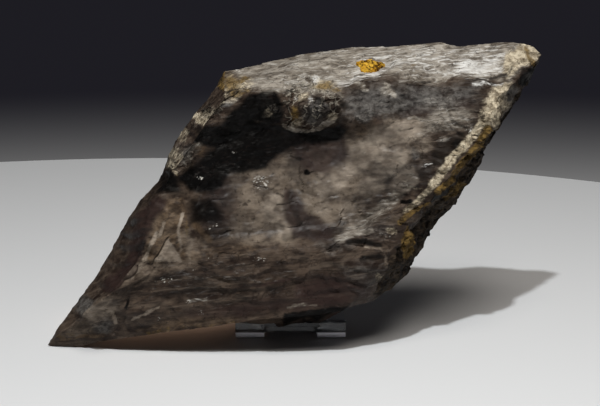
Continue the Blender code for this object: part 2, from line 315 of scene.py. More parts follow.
# Marks on the front. Spots: p, q, radius, radius, turn in degrees, strength. Strokes:
# points, half width, strength. Areas: outline, soft edge, strength. "behind" is how strong
# its patches are on the blade's back.
marks = {
    # purple-brown depths
    "plum": {
        "behind": 0.5,
        "areas": [
            ([(-71, 75), (-83, 56), (-87, 44), (-101, 27), (-92, 27), (-81, 43), (-76, 56),
              (-66, 72)], 2.5, 1.0),
            ([(-60, 13), (-58, 19), (-43, 20), (-20, 24), (10, 26), (25, 27), (20, 19), (-5, 17),
              (-28, 13)], 4.0, 0.6),
            ([(80, 81), (92, 92), (92, 98), (84, 93), (75, 82)], 2.0, 0.9),
            ([(-5, 16), (-2, 34), (22, 36), (36, 30), (34, 23), (20, 18)], 6.0, 0.8),
            ([(-8, 79), (-1, 77), (2, 68), (10, 63), (18, 57), (15, 52), (-4, 53),
              (-8, 65)], 3.0, 0.95),
            # painted shade below the lump
            ([(-5, 102), (22, 104), (25, 94), (15, 85), (3, 85), (-4, 93)], 5.0, 0.9),
            ([(-50, 56), (-50, 82), (-33, 86), (-29, 72), (-33, 58)], 6.0, 0.6),
        ],
        "strokes": [
            ([(0, 20.5), (12, 22.5)], 0.8, 1.0), ([(-24, 30), (-5, 33)], 1.1, 0.7),
            ([(-60, 35), (-28, 38)], 1.2, 0.5), ([(38, 113), (41, 108)], 3.0, 0.5),
        ],
        "spots": [
            (-112, 7, 6, 2.5, 10, 0.4), (82, 120, 8, 8, 0, 0.45), (58, 116, 12, 5, 0, 0.45),
            (-110, 14, 4, 2, 0, 0.4),
        ],
    },
    # neutral grey skin
    "steel": {
        "behind": 0.25,
        "areas": [
            ([(20, 112), (22, 128), (48, 131), (80, 130), (92, 134), (88, 122), (70, 115),
              (45, 113)], 7.0, 0.75),
        ],
        "strokes": [
            ([(-108, 20), (-98, 10)], 7.0, 0.7), ([(46, 83), (66, 92)], 6.0, 0.35),
            ([(15, 50), (45, 60)], 9.0, 0.35),
        ],
        "spots": [
            (-58, 96, 6, 9, -15, 0.6), (57, 96, 4, 5, 0, 0.7), (8, 117, 9, 9, 0, 0.8),
            (30, 35, 18, 12, 0, 0.4), (-37, 121, 6, 2.5, 15, 0.8), (32, 115, 9, 5, 0, 0.9),
            (104, 124, 5, 9, -30, 0.7),
        ],
    },
    # the glassy window
    "veil": {
        "behind": 0.5,
        "areas": [
            ([(-37, 58), (-36, 80), (-34, 89), (-14, 91), (-2, 97), (12, 101), (24, 104),
              (45, 112), (58, 110), (54, 96), (40, 84), (30, 66), (6, 55), (-6, 51),
              (-34, 50)], 6.0, 1.0),
            ([(-70, 72), (-76, 60), (-81, 44), (-94, 27), (-80, 30), (-50, 38), (-42, 50),
              (-58, 60), (-60, 74)], 5.0, 0.45),
        ],
        "spots": [
            (-100, 18, 16, 7, 30, 0.65), (-108, 9, 14, 5, 20, 0.6),
        ],
    },
    # pale streaks and clouds within the window; the small triangle on the left and the thin
    # streak beside it are painted reflections off cleavage planes inside
    "pale": {
        "behind": 0.25,
        "areas": [
            # painted reflection off a cleavage plane inside
            ([(-65, 53), (-73, 41.5), (-58, 41.5)], 0.7, 1.0),
        ],
        "strokes": [
            ([(14, 80), (24, 89), (40, 102), (56, 108)], 8.0, 1.0),
            # the first stroke is a painted reflection off a cleavage plane inside
            ([(-59, 66), (-60.5, 60), (-59.5, 47)], 1.1, 0.8),
            ([(-72, 56), (-76, 47), (-84, 34)], 1.6, 0.62), ([(-68, 61), (-70, 55)], 1.4, 0.5),
            ([(33, 49), (40, 48.5), (42.5, 45), (41.5, 41)], 1.0, 0.55),
            ([(-95.5, 17.5), (-91.5, 11.5)], 1.3, 1.0),
            ([(-83, 14), (-77, 17), (-70, 19.5)], 0.9, 0.8),
            ([(-105, 12), (-101, 11)], 1.0, 0.9), ([(-85, 36), (-78, 42)], 3.0, 0.5),
        ],
        "spots": [
            (-8, 58, 6, 6, 0, 1.0), (-12, 68, 9, 10, 10, 1.0), (12, 68, 6, 6, 0, 0.4),
            (24, 66, 6, 7, 0, 0.7), (-56, 52, 5, 10, 0, 0.4), (3, 71, 2.5, 3, 0, 0.5),
            (16, 83, 8, 6, 30, 0.8), (46, 92, 14, 8, 35, 1.0), (-100, 16, 12, 8, 30, 0.55),
            (-24, 74, 6, 5, 0, 0.2), (7, 92, 5, 4, 0, 0.35), (52, 82, 11, 7, 40, 1.0),
            (62, 100, 9, 6, 30, 0.5), (36, 80, 10, 8, 30, 0.7), (28, 62, 9, 6, 30, 0.6),
        ],
    },
    # honey-brown stain within the glass
    "honey": {
        "behind": 0.4,
        "areas": [
            ([(-79, 47), (-73, 62), (-66, 74), (-58, 74), (-55, 50), (-56, 42),
              (-76, 40)], 3.0, 0.6),
            ([(-84, 6), (-72, 13), (-50, 15), (-30, 14), (-30, 9.5), (-56, 7.5)], 2.0, 0.45),
        ],
        "strokes": [
            ([(-62, 62), (-63, 54), (-58, 44)], 1.6, 1.0), ([(-66, 62), (-77, 42)], 1.6, 0.8),
            ([(-120, 3), (-98, 5)], 1.6, 0.7), ([(-52, 60), (-46, 52)], 2.5, 0.7),
            ([(-52, 45), (-30, 50)], 4.0, 0.4),
        ],
        "spots": [
            (-50, 98, 4, 6, 0, 0.5), (38, 110, 3, 6, 20, 0.5), (31, 106, 4, 6, -20, 0.5),
            (46, 62, 6, 3, 30, 0.4), (-28, 47, 12, 5, 0, 0.4),
        ],
    },
    # near-black clear smoke, and painted shade: the hollow's overhanging upper wall, the band
    # under the lump, the tip's shaded side and the underside below the bottom edge
    "smokeAndShade": {
        "behind": 0.6,
        "areas": [
            # the dark zone under the top-left rim: dark clear crystal, with painted shade of the
            # hollow's overhanging wall
            ([(-39, 110), (-35, 117), (-29, 121), (-21, 120), (-22, 113), (-14, 112), (-9, 110),
              (4, 107), (20, 111), (24, 108), (20, 102), (-2, 100), (-12, 95), (-17, 88),
              (-36, 85), (-38, 79), (-46, 76), (-56, 77), (-62, 84), (-52, 91), (-44, 98),
              (-54, 101), (-53, 110)], 3.0, 1.0),
            ([(-74, 76), (-70, 86), (-66, 90), (-60, 84), (-60, 76)], 3.0, 0.85),
            ([(-31, 119), (-26, 125), (-11, 126.5), (-8, 120), (-9, 110), (-16, 111),
              (-24, 113)], 2.0, 0.85),
            ([(-55, 60), (-56, 73), (-44, 74), (-38, 66), (-40, 59)], 4.5, 0.75),
            # painted shade on the tip's side
            ([(108, 131), (112, 138), (120, 139), (116, 128)], 1.5, 1.0),
            ([(83, 106.5), (75, 106), (69, 103), (66, 97), (64, 91), (66, 88), (71, 90), (76, 94),
              (81, 101)], 2.5, 0.6),
            # painted shadow on the underside below the bottom edge
            ([(-8, 16), (-9, 7), (8, 7), (26, 14), (26, 20), (8, 18)], 1.0, 1.0),
        ],
        "strokes": [
            ([(50.5, 71), (54, 72.5), (57, 70.5)], 1.3, 1.0),
            ([(24, 51), (32, 52), (40, 50)], 1.8, 0.7),
            ([(0, 90), (0.5, 84), (1.5, 79)], 0.8, 0.6),
            ([(-4, 77), (-3.5, 70), (-1, 63), (4, 56)], 3.0, 0.5),
            ([(6, 67), (7, 62), (12, 58)], 2.0, 0.35), ([(-8, 54), (20, 57)], 3.0, 0.45),
            ([(-12, 76), (-8, 74.5)], 0.8, 0.7), ([(-43, 52), (-41, 44)], 2.0, 0.4),
            ([(-86.5, 20), (-85.5, 23.5)], 1.1, 0.8), ([(31, 43), (40, 45)], 1.8, 0.7),
            ([(66, 72), (72, 77), (76, 82)], 1.6, 0.8), ([(-65.5, 54), (-74.5, 40)], 0.5, 0.8),
            ([(-78, 52), (-88, 34)], 1.6, 0.5),
        ],
        "spots": [
            (3.5, 86, 2.0, 1.8, 0, 1.0), (-47, 117, 3.0, 2.0, 20, 0.9),
            (-17, 124.5, 8, 3.5, 10, 0.8), (78, 101, 5, 4, 50, 0.75), (70, 92, 3.5, 5, 0, 0.6),
            # the spots at (-4, 99) and (10, 96) are the lump's painted shadow
            (63, 86, 5, 5, 0, 0.5), (-4, 99, 16, 4, 0, 0.5), (10, 96, 9, 4, 20, 0.35),
            (-51, 28.5, 3, 1.5, 0, 0.6), (-46, 54, 8, 7, 0, 0.5), (52, 124, 4, 3, 0, 0.5),
            (51, 98, 2.5, 2, 0, 0.5), (22, 119, 4, 3, 0, 0.6), (9, 115, 4, 5, 0, 0.5),
            (-47, 56, 4, 2.5, 0, 0.6),
        ],
    },
    # dark brown broken side, painted darker as shade where it faces away from the light
    "earthAndShade": {
        "behind": 0.6,
        "areas": [
            ([(36, 25), (38, 33), (44, 44), (49, 50), (58, 57), (65, 68), (72, 77), (80, 87),
              (88, 99), (96, 109), (106, 122), (112, 131), (124, 134), (104, 92), (80, 56),
              (56, 24)], 1.2, 1.0),
        ],
        "strokes": [
            ([(103, 134), (109, 139), (116, 141)], 1.4, 0.9),
        ],
    },
    # silvery weathered skin, with painted highlights: a crescent and a streak below the top band,
    # pale streaks along the hollow's lower-right wall and a bright line along the bottom edge
    "frostAndHighlight": {
        "behind": 0.35,
        "areas": [
            ([(-36, 138), (0, 146), (50, 151), (119, 152), (112, 140), (104, 132), (82, 134),
              (60, 132), (40, 134), (20, 130), (-8, 127), (-30, 128), (-28, 134)], 4.5, 1.0),
            ([(-8, 128), (2, 125), (20, 124), (22, 130), (4, 134)], 2.5, 0.7),
            ([(58, 104), (60, 113), (70, 119), (88, 118), (85, 108), (74, 106)], 4.0, 0.65),
        ],
        "strokes": [
            # painted highlights: the crescent at p 54 to 61 and the streak at p 71 to 79
            ([(54, 113.5), (58, 114), (61, 112)], 0.9, 1.0),
            ([(71, 115.5), (79, 116.5)], 1.0, 0.8), ([(43, 129), (47, 124)], 1.6, 0.8),
            ([(28, 131), (33, 127)], 2.0, 0.7),
            # painted highlights: the pale streaks along the hollow's lower-right wall, and the
            # bright line along the bottom edge at p -6 to 8
            ([(20, 53), (28, 58), (36, 64), (47, 73), (56, 83)], 4.2, 0.55),
            ([(21, 53.5), (36, 57)], 2.2, 0.6), ([(-6, 19.5), (8, 20.8)], 1.1, 0.6),
            ([(-57, 22.5), (-47, 23)], 1.3, 0.45),
            ([(-8, 110), (-2, 108), (3, 107), (9, 108), (17, 113)], 1.5, 0.85),
            ([(-58, 92), (-51, 99)], 3.5, 0.4),
        ],
        "spots": [
            (-34, 122.5, 5, 1.8, 10, 0.9), (70, 120, 14, 8, 10, 0.3), (43, 127, 4, 4, 0, 0.5),
            (72, 103, 4, 2, 20, 0.5),
        ],
    },
    # the silvery skin's brightest, white places, and painted highlights: three small spots on the
    # lump and a short stroke at p 62
    "snowAndHighlight": {
        "behind": 0.1,
        "areas": [
            ([(72, 136), (80, 145), (99, 145), (101, 138), (88, 134)], 6.0, 0.55),
            ([(22, 136), (30, 146), (60, 149), (108, 149), (98, 136), (40, 134)], 7.0, 0.3),
            ([(-78, 22), (-62, 42), (-20, 45), (10, 38), (10, 28), (-40, 20)], 6.0, 0.06),
        ],
        "strokes": [
            ([(86, 130.5), (101, 131)], 1.2, 0.5), ([(20, 131), (42, 136)], 2.4, 0.45),
            # the short stroke at p 62 is a painted glint
            ([(50, 141), (62, 146)], 5.0, 0.3), ([(62, 90), (65.5, 90.3)], 0.8, 0.55),
        ],
        "spots": [
            # painted highlights on the lump: the first three spots
            (8, 133, 2.5, 1.5, 0, 0.6), (5, 123, 2.2, 1.4, 0, 0.6), (-2, 123, 1.6, 1.4, 0, 0.5),
            (70, 143, 9, 4, 10, 0.3),
        ],
    },
    # crumpled ridges; their folds get painted highlights
    "curl": {
        "behind": 0.3,
        "areas": [
            ([(-8, 109), (2, 106), (10, 108), (19, 113), (22, 124), (16, 132), (2, 135),
              (-8, 128)], 2.5, 1.0),
            ([(-21, 113), (-20, 120), (-11, 121), (-8, 113)], 2.0, 0.5),
            ([(-58, 108), (-52, 118), (-40, 124), (-36, 116), (-46, 110)], 2.0, 0.6),
            ([(-66, 84), (-60, 103), (-50, 101), (-54, 88)], 2.0, 0.6),
        ],
        "strokes": [
            ([(30, 112), (44, 124)], 5.0, 0.5),
        ],
        "spots": [
            (46, 57, 6, 3, 20, 0.5), (60, 68, 5, 4, 30, 0.5),
        ],
    },
    # cream crumbs
    "cream": {
        "behind": 0.3,
        "areas": [
            ([(104, 133), (110, 139), (119, 142), (122, 150), (112, 152), (103, 146),
              (101, 138)], 2.0, 0.95),
            ([(88, 106), (90, 118), (97, 130), (105, 131), (104, 120), (96, 110)], 3.0, 0.75),
            ([(-40, 124), (-38, 136), (-28, 135), (-22, 132), (-26, 126), (-34, 121)], 2.0, 0.45),
            ([(-68, 89), (-66, 98), (-61, 99), (-61, 88)], 1.5, 0.5),
        ],
        "strokes": [
            ([(93, 114), (84, 102.5), (77, 94.5), (71, 87), (66, 80)], 2.9, 0.88),
            ([(66, 79.5), (60, 73), (53, 67)], 2.4, 0.62), ([(-40, 122), (-51, 113)], 2.0, 0.6),
            ([(-60, 103), (-57, 107)], 1.8, 0.5), ([(-66, 90), (-61, 85)], 0.9, 1.0),
            ([(54, 79), (64, 77)], 1.2, 0.35), ([(-36, 129.6), (-26, 130)], 0.8, 1.0),
        ],
        "spots": [
            (-51, 113.5, 3, 2.6, 0, 0.95), (-16, 116.5, 4.0, 3.0, 0, 0.35),
            (-1, 112, 4, 3, 20, 0.5), (2, 124, 4, 3, 0, 0.6), (16, 114, 4, 3, 30, 0.5),
            (11, 130, 8, 4, 0, 0.75), (38, 35, 3, 4, 0, 0.4), (46, 57, 4, 2.5, 0, 0.5),
        ],
    },
    # ochre stain
    "rust": {
        "behind": 0.25,
        "areas": [
            ([(51, 43), (50, 52), (54, 59), (57, 55), (56, 46)], 1.2, 1.0),
        ],
        "strokes": [
            ([(93, 108), (88, 100), (83, 93.5)], 2.2, 0.9),
            ([(83, 94), (75, 83), (68, 76)], 1.8, 0.85),
            ([(50, 61), (56, 66), (64, 70)], 2.2, 0.7), ([(-76, 6), (-66, 8.5)], 1.5, 0.4),
            ([(-60, 9), (-33, 11)], 0.9, 0.3), ([(113, 149), (117, 140)], 1.6, 0.8),
            ([(-38, 135), (-40, 129)], 1.4, 0.8), ([(73, 74), (80, 80)], 3.0, 0.6),
            ([(-122, 4), (-114, 6)], 1.5, 0.35),
        ],
        "spots": [
            (-34, 131, 6, 5, 0, 0.7), (-30, 126, 8, 2.5, 20, 0.6), (-28, 133, 5, 2.2, 20, 0.75),
            (-33, 126.5, 4, 2, 0, 0.7), (12, 130, 6, 3, 0, 0.85), (-2.5, 116, 3.2, 5, 0, 0.75),
            (18, 128, 4, 2.5, 0, 0.6), (57, 139, 3, 2, 0, 0.4), (-56, 58, 2, 8, 10, 0.3),
            (-52, 117, 3, 2, 30, 0.5),
        ],
    },
    # dark cracks, and painted shade in the hollows and on the tip's shaded side
    "cracksAndShade": {
        "behind": 0.4,
        "strokes": [
            ([(83, 132.5), (93, 133.5)], 1.0, 0.8), ([(95, 134), (103, 135.5)], 1.4, 0.8),
            ([(59, 132.5), (66, 133)], 0.9, 0.7), ([(103, 134), (106, 139)], 0.8, 0.6),
            ([(28, 141), (32, 145)], 0.5, 0.7), ([(27, 134.5), (36, 135.5)], 0.6, 0.6),
            ([(-37, 127.5), (-27, 129)], 0.5, 0.8), ([(-45, 119), (-38, 121)], 0.9, 0.8),
            ([(-52, 110), (-44, 112)], 0.8, 0.8), ([(-60, 100), (-55, 103)], 0.7, 0.7),
            ([(-9, 117), (-4, 121), (-6, 125)], 0.7, 0.7),
            ([(2, 111), (5, 115), (3, 120)], 0.8, 0.7), ([(6, 124), (12, 122)], 0.9, 0.6),
            ([(84, 126), (94, 125)], 0.8, 0.5), ([(71, 120), (77, 117)], 1.2, 0.5),
        ],
        "spots": [
            (12, 116, 3.0, 4.5, 10, 0.8), (-46, 116, 3.5, 1.4, 15, 0.8),
            (-55, 106, 2.0, 2.5, 0, 0.7), (54, 125, 2.0, 2.5, 0, 0.5),
            (17, 119, 2.0, 3.0, 0, 0.6), (112, 136, 3.5, 2.2, -40, 0.9),
        ],
    },
    # painted glints: tiny bright specks and streaks
    "glint": {
        "behind": 0.1,
        "strokes": [
            ([(-46, 58), (-42, 60)], 1.0, 0.7), ([(-24, 43), (-18, 43.5)], 1.2, 0.55),
            ([(-51, 83.5), (-49.5, 83.4)], 1.2, 0.9),
        ],
        "spots": [
            (-19, 81, 7, 4.5, -15, 0.72), (-33.5, 96, 1.0, 1.0, 0, 0.8),
            (-68, 32.5, 1.4, 1.4, 0, 1.0), (-65, 32.5, 1.4, 1.4, 0, 1.0),
            (-71.5, 31.5, 1.2, 1.0, 0, 0.8), (-45, 43.5, 1.8, 1.0, 0, 0.9),
            (-53, 38, 1.4, 1.0, 0, 0.8), (-45, 38, 1.5, 1.0, 0, 0.8), (-37, 33, 1.4, 1.0, 0, 0.7),
            (-50, 16.5, 2.2, 1.4, 30, 0.6), (-55, 22, 2.4, 1.2, 0, 0.5),
            (-70, 14.5, 1.5, 1.0, 0, 0.7), (-105, 14.5, 1.2, 1.0, 0, 0.7),
            (-63, 104, 1.2, 1.2, 0, 0.8), (84, 107, 1.8, 2.0, 0, 1.0),
            (-31, 138, 1.2, 1.2, 0, 1.0), (43, 55, 4, 3, 0, 0.35),
        ],
    },
    # where the blade is glassy and lets light in
    "clear": {
        "behind": 0.45,
        "areas": [
            ([(-50, 50), (-52, 82), (-35, 100), (0, 104), (50, 110), (64, 84),
              (24, 52)], 9.0, 1.0),
        ],
        "spots": [
            (-62, 52, 12, 12, 0, 0.6), (-30, 106, 16, 10, 0, 0.8),
        ],
    },
}


def strokeReach(p, q, points):
    # distance from each place to a line of points
    nearest = np.full(p.shape, 1e9)
    for (p0, q0), (p1, q1) in zip(points, points[1:]):
        runP, runQ = p1 - p0, q1 - q0
        share = ((p - p0) * runP + (q - q0) * runQ) / (runP ** 2 + runQ ** 2)
        share = np.clip(share, 0, 1)
        nearest = np.minimum(nearest, np.hypot(p - p0 - share * runP, q - q0 - share * runQ))
    return nearest


def areaReach(p, q, outline):
    # distance to an outline, positive inside it
    closed = outline + outline[:1]
    inside = np.zeros(p.shape, bool)
    for (p0, q0), (p1, q1) in zip(closed, closed[1:]):
        if q0 != q1:
            crossing = p0 + (q - q0) * (p1 - p0) / (q1 - q0)
            inside ^= ((q0 > q) != (q1 > q)) & (p < crossing)
    return np.where(inside, 1.0, -1.0) * strokeReach(p, q, closed)


def markAt(kind, p, q):
    weight = np.zeros(p.shape)
    for outline, edge, strength in kind.get("areas", []):
        weight = np.maximum(weight, strength * smooth(-edge, edge, areaReach(p, q, outline)))
    for points, width, strength in kind.get("strokes", []):
        reach = strokeReach(p, q, points) / width
        weight = np.maximum(weight, strength * (1 - smooth(0.3, 1.2, reach)))
    for centreP, centreQ, radiusP, radiusQ, turn, strength in kind.get("spots", []):
        angle = math.radians(turn)
        offP, offQ = p - centreP, q - centreQ
        alongP = offP * math.cos(angle) + offQ * math.sin(angle)
        alongQ = offQ * math.cos(angle) - offP * math.sin(angle)
        reach = np.hypot(alongP / radiusP, alongQ / radiusQ)
        weight = np.maximum(weight, strength * (1 - smooth(0.35, 1.15, reach)))
    return weight


def markWeights(points):
    # each mark's weight at each point: named marks in front, broad patches behind
    p, q, w = points.T
    fan = 1 + w / blade["spread"]
    seenP = (p - blade["spreadFrom"][0]) * fan + blade["spreadFrom"][0]
    seenQ = (q - blade["spreadFrom"][1]) * fan + blade["spreadFrom"][1]
    for index, (size, reach) in enumerate(blade["wobble"]):
        seenP = seenP + reach * noiseAt(points, size, 11.0 + index)
        seenQ = seenQ + reach * noiseAt(points, size, 23.0 + index)
    front = smooth(*blade["markDepth"], w)
    weights = {}
    for index, (name, kind) in enumerate(marks.items()):
        patches = smooth(0.0, 0.5, noiseAt(points, blade["patchSize"], 40.0 + 9.0 * index))
        back = (1 - front) * kind["behind"] * patches
        weights[name] = front * markAt(kind, seenP, seenQ) + back
    return weights


def cubeSurface(cells):
    bm = bmesh.new()
    bmesh.ops.create_cube(bm, size=2.0)
    for axis, count in enumerate(cells):
        edges = [edge for edge in bm.edges
                 if abs(edge.verts[0].co[axis] - edge.verts[1].co[axis]) > 0.5]
        bmesh.ops.subdivide_edges(bm, edges=edges, cuts=count - 1, use_grid_fill=True)
    return bm


def shapeBlade(corners, points, outward, weights):
    # hollow, lumps, ledges and broken skin, then the cuts and the seats
    depth = np.abs(corners[:, 2])
    rimLow, rimHigh, rimShare = blade["rim"]
    rim = rimShare + (1 - rimShare) * smooth(rimLow, rimHigh, depth)
    calm = 1 - blade["glassCalm"] * weights["clear"]
    broad = rim * (brokenAt(points) + ledgesAt(points, depth)) * calm
    fineShare = blade["fineAtRim"] + (1 - blade["fineAtRim"]) * rim
    relief = broad + fineRelief(points, weights) * fineShare
    p, q, w = points.T
    inward = smooth(0.55, 0.95, w / blade["level"]) * (hollowAt(p, q) - lumpsAt(p, q))
    down = seatAt(points, outward)
    shaped = points + outward * relief[:, None] - np.column_stack([0 * p, down, inward])
    return np.clip(restOnStand(flattenSeat(cutFlat(shaped))), *np.array(cadBox))


def makeBlade(material):
    bm = cubeSurface(blade["cells"])
    corners = np.array([vert.co for vert in bm.verts])
    points = bladePoints(*corners.T)
    for vert, point in zip(bm.verts, points):
        vert.co = point
    bm.normal_update()
    outward = np.array([vert.normal for vert in bm.verts])
    weights = markWeights(points)
    for vert, point in zip(bm.verts, shapeBlade(corners, points, outward, weights)):
        vert.co = point
    for name, weight in weights.items():
        store = bm.verts.layers.float.new(name)
        for vert, value in zip(bm.verts, weight):
            vert[store] = float(value)
    piece = addPiece("gypsumBlade", bm, material)
    piece.data.shade_smooth()
    piece.data.set_sharp_from_angle(angle=blade["sharpFrom"])
    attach(piece, "root")
    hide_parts("crystal")
    print("blade:", len(piece.data.polygons), "faces")


def setInputs(tree, node, inputs):
    for name, value in inputs.items():
        if isinstance(value, bpy.types.NodeSocket):
            tree.links.new(value, node.inputs[name])
        else:
            node.inputs[name].default_value = value


def addNode(tree, kind, inputs=None, **settings):
    node = tree.nodes.new(kind)
    for name, value in settings.items():
        setattr(node, name, value)
    setInputs(tree, node, inputs or {})
    return node


def blankMaterial(name):
    material = bpy.data.materials.new(name)
    material.use_nodes = True
    tree = material.node_tree
    shader = tree.nodes["Principled BSDF"]
    return material, tree, shader


def mixColours(tree, share, first, second):
    first, second = (value if isinstance(value, bpy.types.NodeSocket) else (*value, 1.0)
                     for value in (first, second))
    return addNode(tree, "ShaderNodeMix", {0: share, 6: first, 7: second}, data_type="RGBA",
                   clamp_factor=True).outputs[2]


def maths(tree, operation, first, second=0.0, third=0.0):
    return addNode(tree, "ShaderNodeMath", {0: first, 1: second, 2: third},
                   operation=operation).outputs[0]


def ramp(tree, value, low, high, start=0.0, end=1.0):
    node = addNode(tree, "ShaderNodeMapRange", {"Value": value, "From Min": low,
                   "From Max": high, "To Min": start, "To Max": end},
                   interpolation_type="SMOOTHSTEP")
    return node.outputs["Result"]


def noiseNode(tree, vector, scale, detail, roughness, distortion=0.0):
    node = addNode(tree, "ShaderNodeTexNoise", {"Vector": vector, "Scale": scale,
                   "Detail": detail, "Roughness": roughness, "Distortion": distortion})
    return node.outputs["Fac"]


def vectorMaths(tree, operation, first, second):
    node = addNode(tree, "ShaderNodeVectorMath", {0: first, 1: second}, operation=operation)
    return node.outputs["Value" if operation == "DOT_PRODUCT" else "Vector"]


def attribute(tree, name):
    return addNode(tree, "ShaderNodeAttribute", attribute_name=name).outputs["Fac"]


def average(tree, first, second):
    return maths(tree, "MULTIPLY", maths(tree, "ADD", first, second), 0.5)


def twoTone(tree, texture, low, high, tones):
    return mixColours(tree, ramp(tree, texture, low, high), *tones)


def overlay(tree, colour, texture, start, full, strength, tint):
    # a tint over a colour, from none at the texture's start value to its full strength
    return mixColours(tree, ramp(tree, texture, start, full, 0.0, strength), colour, tint)


def bump(tree, height, distance):
    return addNode(tree, "ShaderNodeBump", {"Height": height, "Strength": 1.0,
                                            "Distance": distance}).outputs[0]


# The gypsum's colours, dark and light where there are two, and its clearness
gypsum = {
    "ground": ((0.018, 0.0120, 0.0090), (0.062, 0.044, 0.032)),
    "paleStreak": (0.110, 0.083, 0.062),
    "darkStreak": (0.012, 0.007, 0.0055),
    "steel": ((0.022, 0.020, 0.019), (0.115, 0.107, 0.098)),
    "steelStreak": (0.20, 0.188, 0.172),
    "veil": ((0.046, 0.032, 0.023), (0.190, 0.151, 0.114)),
    "veilFleck": (0.014, 0.009, 0.006),
    "honey": ((0.036, 0.022, 0.012), (0.128, 0.084, 0.048)),
    "pale": ((0.130, 0.101, 0.076), (0.275, 0.228, 0.180)),
    "plum": (0.023, 0.0135, 0.0118),
    "smokeAndShade": ((0.0010, 0.0009, 0.0009), (0.0062, 0.0057, 0.0055)),
    "earthAndShade": ((0.0045, 0.0030, 0.0020), (0.050, 0.036, 0.024)),
    "frostAndHighlight": ((0.100, 0.081, 0.062), (0.280, 0.248, 0.206)),
    "frostDash": (0.410, 0.384, 0.342),
    "frostGap": (0.048, 0.040, 0.033),
    "frostFibre": (0.050, 0.042, 0.036),
    "snowAndHighlight": (0.60, 0.585, 0.555),
    "ridgeHighlight": (0.33, 0.295, 0.240),
    "cream": ((0.190, 0.150, 0.098), (0.56, 0.482, 0.355)),
    "creamCrack": (0.050, 0.031, 0.015),
    "rust": ((0.070, 0.044, 0.016), (0.165, 0.103, 0.030)),
    "cracksAndShade": (0.010, 0.0075, 0.0065),
    "darkLine": (0.008, 0.005, 0.004),
    # colour of the painted glints
    "glint": (0.62, 0.59, 0.53),
    "clearShares": (0.1, 0.4),       # least and most light let through in the clear part
    "ior": 1.52,
    "specular": 0.1,
}


def growthCoords(tree, stretch):
    # object coordinates turned so that x follows the blade's long axis, then stretched
    coords = addNode(tree, "ShaderNodeTexCoord").outputs["Object"]
    upright = addNode(tree, "ShaderNodeMapping", {"Vector": coords,
                      "Rotation": (math.pi / 2 - placing["lean"], 0.0, 0.0)},
                      vector_type="TEXTURE")
    spun = addNode(tree, "ShaderNodeMapping", {"Vector": upright.outputs[0],
                   "Rotation": (0.0, 0.0, blade["longAxis"])}, vector_type="TEXTURE")
    return vectorMaths(tree, "MULTIPLY", spun.outputs[0], stretch)


def brokenCells(tree, vector, scale):
    spot = vectorMaths(tree, "MULTIPLY", vector, (scale, scale, scale))
    return spot, addNode(tree, "ShaderNodeTexVoronoi", {"Vector": spot, "Scale": 1.0})


def facetHeight(tree, vector, scale):
    # broken facets: each cell leans its own way; their height in mm
    spot, cells = brokenCells(tree, vector, scale)
    offset = vectorMaths(tree, "SUBTRACT", spot, cells.outputs["Position"])
    lean = vectorMaths(tree, "SUBTRACT", cells.outputs["Color"], (0.5, 0.5, 0.5))
    return maths(tree, "MULTIPLY", vectorMaths(tree, "DOT_PRODUCT", offset, lean),
                 1000.0 / scale)


def facetShare(tree, vector, scale):
    # a random share for each broken facet
    cells = brokenCells(tree, vector, scale)[1]
    return addNode(tree, "ShaderNodeSeparateColor", {0: cells.outputs["Color"]}).outputs[0]


def lines(tree, vector, scale, width, detail=3.0):
    # thin lines where a noise crosses its middle
    value = noiseNode(tree, vector, scale, detail, 0.5, 0.4)
    away = maths(tree, "ABSOLUTE", maths(tree, "SUBTRACT", value, 0.5))
    return ramp(tree, away, width, 0.0)


def layer(tree, colour, name, texture, share, strength, tint):
    # one mark's colour over what lies beneath it, its edge broken up by a texture
    mark = attribute(tree, name)
    reach = maths(tree, "MULTIPLY_ADD", texture, share, mark)
    reach = ramp(tree, reach, 0.15 + share / 2, 0.85 + share / 2, 0.0, strength)
    reach = maths(tree, "MULTIPLY", reach, ramp(tree, mark, 0.0, 0.2, 0.12, 1.0))
    return mixColours(tree, reach, colour, tint)


def gypsumTextures(tree):
    coords = addNode(tree, "ShaderNodeTexCoord").outputs["Object"]
    grown = growthCoords(tree, (1.0, 1.8, 1.4))
    streaks = growthCoords(tree, (36.0, 380.0, 240.0))
    dashes = growthCoords(tree, (85.0, 430.0, 300.0))
    fibres = growthCoords(tree, (110.0, 1300.0, 800.0))
    textures = {
        "cloud": noiseNode(tree, coords, 75.0, 4.0, 0.55),
        "mottle": noiseNode(tree, grown, 190.0, 5.0, 0.62),
        "grain": noiseNode(tree, coords, 430.0, 5.0, 0.62),
        "streak": noiseNode(tree, streaks, 1.0, 5.0, 0.6, 0.7),
        "dash": noiseNode(tree, dashes, 1.0, 6.0, 0.68, 1.4),
        "fibre": noiseNode(tree, fibres, 1.0, 4.0, 0.6, 0.4),
        "facets": maths(tree, "ADD", facetHeight(tree, grown, 190.0),
                        facetHeight(tree, grown, 520.0)),
        "sparkle": facetShare(tree, grown, 1150.0),
        "darkLines": lines(tree, grown, 75.0, 0.014),
        "cracks": lines(tree, coords, 330.0, 0.022),
        "folds": lines(tree, coords, 170.0, 0.07, 2.0),
    }
    textures["mottled"] = average(tree, textures["cloud"], textures["mottle"])
    textures["crumbled"] = average(tree, textures["grain"], textures["mottle"])
    textures["ridges"] = maths(tree, "MULTIPLY", attribute(tree, "curl"), textures["folds"])
    return textures


